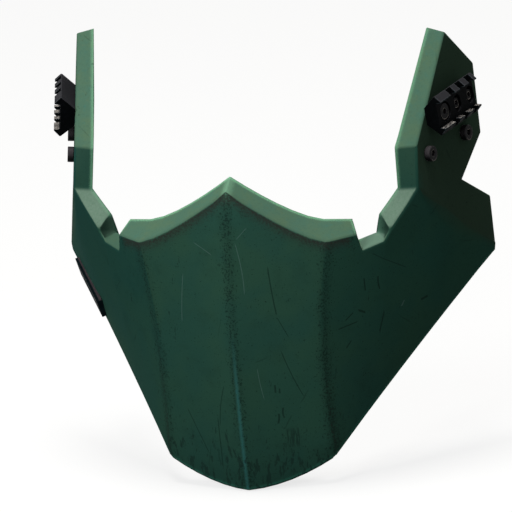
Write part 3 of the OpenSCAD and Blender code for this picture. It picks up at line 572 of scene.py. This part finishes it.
# The accessory rails.
# Short milled lengths of black anodised aluminium, one outside each arm, screwed on through their
# channel. The lugs are scuffed along their edges, and the faces that turn up to the light are painted
# lighter grey as lit, with painted highlights on their edges.
anodised = Finish("black_anodised", IOR=1.06)
where = anodised.place()
mill = anodised.noise(anodised.stretched(where, 0.5, 0.12, 2.5), 1.8, 2.0, 0.5)
scuff = anodised.noise(where, 0.55, 4.0, 0.7)
fleck = anodised.noise(where, 2.4, 3.0, 0.7)
x, y, z = anodised.parts(where)
face_x, face_y, face_z = anodised.facing()
height = abs(x) * 0.961 - y * 0.254 + z * 0.107 - 97.35
on_lugs = height.step(7.9, 8.5)
rub = anodised.edges(0.7) * scuff.step(0.34, 0.5)
# Faces that turn up and forward are painted lighter grey, as lit, flecked; their lug edges get a painted
# highlight and the up-facing walls on the lugs painted light streaks.
lit_faces = (abs(face_x) * 0.2 + face_z - face_y * 0.3).step(0.5, 0.9)
lit_walls = face_z.step(0.85, 0.97) * on_lugs
tone = anodised.mix(colour(3, 5, 6), colour(8, 10, 12), scuff.step(0.4, 0.7))
tone = anodised.mix(tone, colour(56, 56, 60), lit_faces * (0.3 + fleck * 0.7))
tone = anodised.mix(tone, colour(122, 122, 126), anodised.edges(0.6) * lit_faces * on_lugs * 0.5)
tone = anodised.mix(tone, colour(164, 158, 152), lit_walls * (fleck * 0.7 + mill * 0.6).step(0.52, 0.78))
tone = anodised.mix(tone, colour(26, 66, 74), rub * (1 - fleck.step(0.4, 0.6)) * on_lugs * 0.6)
bare = rub * fleck.step(0.4, 0.6) * (on_lugs * 0.4 + 0.01)
anodised.feed("Base Color", anodised.mix(tone, colour(130, 132, 136), bare))
anodised.feed("Roughness", 0.5 + mill * 0.15)
anodised.feed("Normal", anodised.relief(mill * 0.5 + fleck * 0.5, 0.03))
for node in ("accessory_rail_left", "accessory_rail_right"):
    put_in_place(eased(node, 0.0003), node, anodised)

# The rail screws.
# One M5 and two M3 socket screws in each rail's counterbores, in black oxide, paler at the heads' lower
# rims.
for node in ("rail_screws_left", "rail_screws_right"):
    put_in_place(eased(node, 0.00022), node, oxide)

# The flank plate and its screws.
# A small steel plate on the wearer's right cheek, powder coated black, held by two countersunk
# screws. Its front edge next to the shell is painted light grey, as lit from the front.
coat = Finish("black_powder_coat", IOR=1.04)
where = coat.place()
stipple = coat.noise(where, 1.9, 2.0, 0.6)
smear = coat.noise(where, 0.3, 4.0, 0.65)
x, y, z = coat.parts(where)
face_x, face_y, face_z = coat.facing()
height = x * -0.87 - y * 0.41 - z * 0.28 - 106.4
rub = coat.edges(0.9) * coat.noise(where, 0.7, 3.0).step(0.35, 0.65)
# The front edge next to the shell, where it faces up and forward, is painted light grey as lit.
lit_front_edge = (face_z * 0.8 - face_y * 0.75).step(0.45, 0.85) * (1 - height.step(1.1, 1.7))
lit_front_edge = lit_front_edge * (0.7 + smear * 0.4)
tone = coat.mix(colour(13, 24, 27), colour(20, 33, 36), smear.step(0.4, 0.7))
tone = coat.mix(tone, colour(88, 78, 82), lit_front_edge * 0.85)
coat.feed("Base Color", coat.mix(tone, colour(98, 92, 94), rub * 0.2))
coat.feed("Roughness", 0.5 + stipple * 0.2)
coat.feed("Normal", coat.relief(stipple, 0.04))
put_in_place(eased("flank_plate", 0.0004), "flank_plate", coat)
paint_on("flank_screws", oxide)

# The hook patches.
# Woven nylon hook tape, glued into the chin and along each jaw, which holds the pads.
hooks = Finish("hook_tape", Roughness=0.9, Specular_IOR_Level=0.15)
where = hooks.place()
barbs = hooks.node("ShaderNodeTexVoronoi", None, {"Vector": where, "Scale": 1.1})
weave = hooks.noise(where, 0.5, 2.0, 0.5)
tone = hooks.mix(colour(22, 23, 24), colour(52, 53, 54), (1 - barbs.step(0.1, 0.45)) * 0.8)
hooks.feed("Base Color", hooks.mix(tone, colour(66, 66, 62), weave.step(0.62, 0.75) * 0.3))
hooks.feed("Normal", hooks.relief(1 - barbs, 0.25))
for node in ("chin_patch", "jaw_patch_left", "jaw_patch_right"):
    paint_on(node, hooks)

# The comfort pads.
# Soft foam in a knitted spacer cover with a bound seam round each, pressed on to the hook patches
# in the chin and along each jaw.
cover = Finish("knitted_cover", Roughness=0.92, Specular_IOR_Level=0.15, Sheen_Weight=0.25)
where = cover.place()
cells = cover.node("ShaderNodeTexVoronoi", {"feature": "F1"}, {
    "Vector": where, "Scale": 0.62, "Randomness": 0.25})
yarn = cover.noise(where, 2.6, 2.0, 0.6)
fuzz = cover.noise(where, 0.09, 3.0, 0.6)
pore = 1 - cells.step(0.12, 0.42)
tone = cover.mix(colour(52, 55, 54), colour(68, 71, 69), fuzz.step(0.35, 0.7))
tone = cover.mix(tone, colour(84, 87, 85), yarn.step(0.52, 0.72) * 0.35)
cover.feed("Base Color", cover.mix(tone, colour(22, 24, 24), pore * 0.75))
cover.feed("Normal", cover.relief(cells * 0.8 + yarn * 0.25, 0.35))

binding = Finish("seam_binding", Roughness=0.85, Specular_IOR_Level=0.2, Sheen_Weight=0.2)
where = binding.place()
twill = binding.noise(binding.stretched(where, 1.6, 1.6, 0.8), 1.7, 2.0, 0.5)
binding.feed("Base Color", binding.mix(colour(30, 32, 32), colour(56, 58, 57), twill.step(0.4, 0.65)))
binding.feed("Normal", binding.relief(twill, 0.12))

voxel = 0.0025
start_inset = 0.001
foam_pressure = 4.0
swelling_frames = 20
most_swell = 0.0016
seam_radius = 0.0009


def outline_of(points, steps=72):
    """The rim of a flattish cushion, as a smooth closed run of points round its middle."""
    middle = sum(points, Vector()) / len(points)
    spread = Matrix(((0,) * 3,) * 3)
    for p in points:
        d = p - middle
        spread += Matrix([[d[r] * d[c] for c in range(3)] for r in range(3)])
    thin = Vector((1, 1, 1)).normalized()
    turned = spread.inverted()
    for _ in range(40):
        thin = (turned @ thin).normalized()
    first = thin.orthogonal().normalized()
    second = thin.cross(first)
    best = [None] * steps
    for p in points:
        d = p - middle
        a, b = d.dot(first), d.dot(second)
        k = int((math.atan2(b, a) / (2 * math.pi)) % 1 * steps) % steps
        reach = math.hypot(a, b)
        if best[k] is None or reach > best[k][0]:
            best[k] = (reach, p)
    ring = [b[1] for b in best if b]
    for _ in range(4):
        ring = [(ring[k - 1] + 2 * ring[k] + ring[(k + 1) % len(ring)]) / 4 for k in range(len(ring))]
    return ring


def evened(pad):
    """Gives a cushion a close and even mesh, as cloth needs."""
    even = pad.modifiers.new("even", "REMESH")
    even.mode = "VOXEL"
    even.voxel_size = voxel
    view = bpy.context.evaluated_depsgraph_get()
    pad.data = bpy.data.meshes.new_from_object(pad.evaluated_get(view))
    pad.modifiers.clear()


def swollen(pad):
    """Blows a cushion up as its foam does, and holds it near its start."""
    start = [v.co.copy() for v in pad.data.vertices]
    cloth = pad.modifiers.new("fill", "CLOTH")
    cloth.settings.use_pressure = True
    cloth.settings.uniform_pressure_force = foam_pressure
    cloth.settings.effector_weights.gravity = 0.0
    for k in range(1, swelling_frames + 1):
        bpy.context.scene.frame_set(k)
    blown = bpy.data.meshes.new_from_object(pad.evaluated_get(bpy.context.evaluated_depsgraph_get()))
    for v, was in zip(blown.vertices, start):
        move = v.co - was
        if move.length > most_swell:
            v.co = was + move.normalized() * most_swell
    pad.modifiers.clear()
    pad.data = blown
    bpy.context.scene.frame_set(1)


for node in ("chin_pad", "jaw_pad_left", "jaw_pad_right"):
    mesh, work = skin_of(node)
    bmesh.ops.recalc_face_normals(work, faces=work.faces)
    work.normal_update()
    for v in work.verts:
        v.co -= v.normal * start_inset
    work.to_mesh(mesh)
    work.free()
    pad = bpy.data.objects.new(node + "_cushion", mesh)
    collection.objects.link(pad)
    evened(pad)
    swollen(pad)
    ring = outline_of([v.co.copy() for v in pad.data.vertices])
    smooth = pad.modifiers.new("smooth", "SUBSURF")
    smooth.levels = smooth.render_levels = 1
    pad.data.shade_smooth()
    put_in_place(pad, node, cover)

    seam_curve = bpy.data.curves.new(node + "_seam", "CURVE")
    seam_curve.dimensions = "3D"
    line = seam_curve.splines.new("NURBS")
    line.points.add(len(ring) - 1)
    for point, at in zip(line.points, ring):
        point.co = (*at, 1.0)
    line.use_cyclic_u = True
    line.order_u = 3
    seam_curve.bevel_depth = seam_radius
    seam_curve.bevel_resolution = 3
    seam_curve.materials.append(binding.material)
    seam = bpy.data.objects.new(node + "_seam", seam_curve)
    collection.objects.link(seam)
    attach(seam, "guard")
